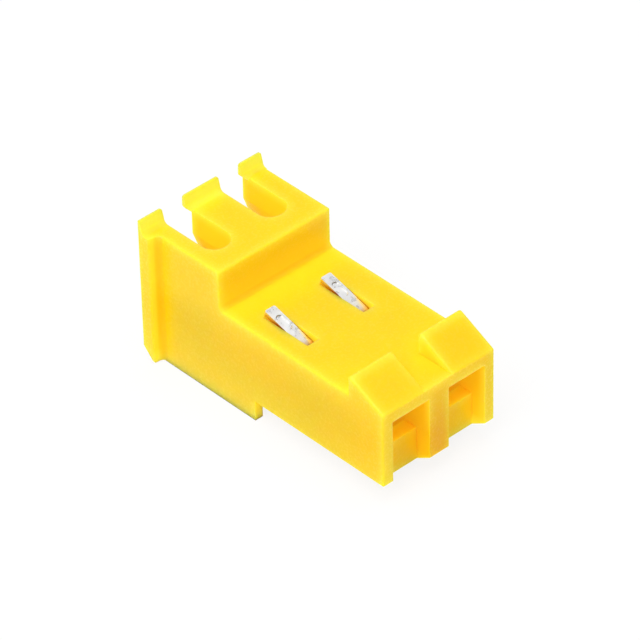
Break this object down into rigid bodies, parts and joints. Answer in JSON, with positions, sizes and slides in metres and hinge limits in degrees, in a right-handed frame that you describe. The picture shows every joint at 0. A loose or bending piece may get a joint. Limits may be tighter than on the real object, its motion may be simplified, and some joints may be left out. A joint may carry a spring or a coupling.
{
  "type": "insulation-displacement wire-to-board connector housing",
  "caption": "Moulded wire-to-board receptacle housing with sloped locking ramps, a raised slotted wire-entry block and stamped insulation-displacement contacts.",
  "frame": {"origin": "middle of the outline in X and Y, on the plane that the skirts under the wire end stand on", "axes": "-Y towards the mating header, +Y towards the wire end, +Z the side with the locking ramps and the wire slots, X along the row of positions"},
  "size_m": [0.0086, 0.0176, 0.0092],
  "materials": {
    "nylon": "satin yellow moulded nylon",
    "tin": "bright tin plate on stamped strip"
  },
  "bodies": {
    "root": {"housing": "nylon", "contact_1": "tin", "contact_2": "tin"}
  },
  "joints": []
}
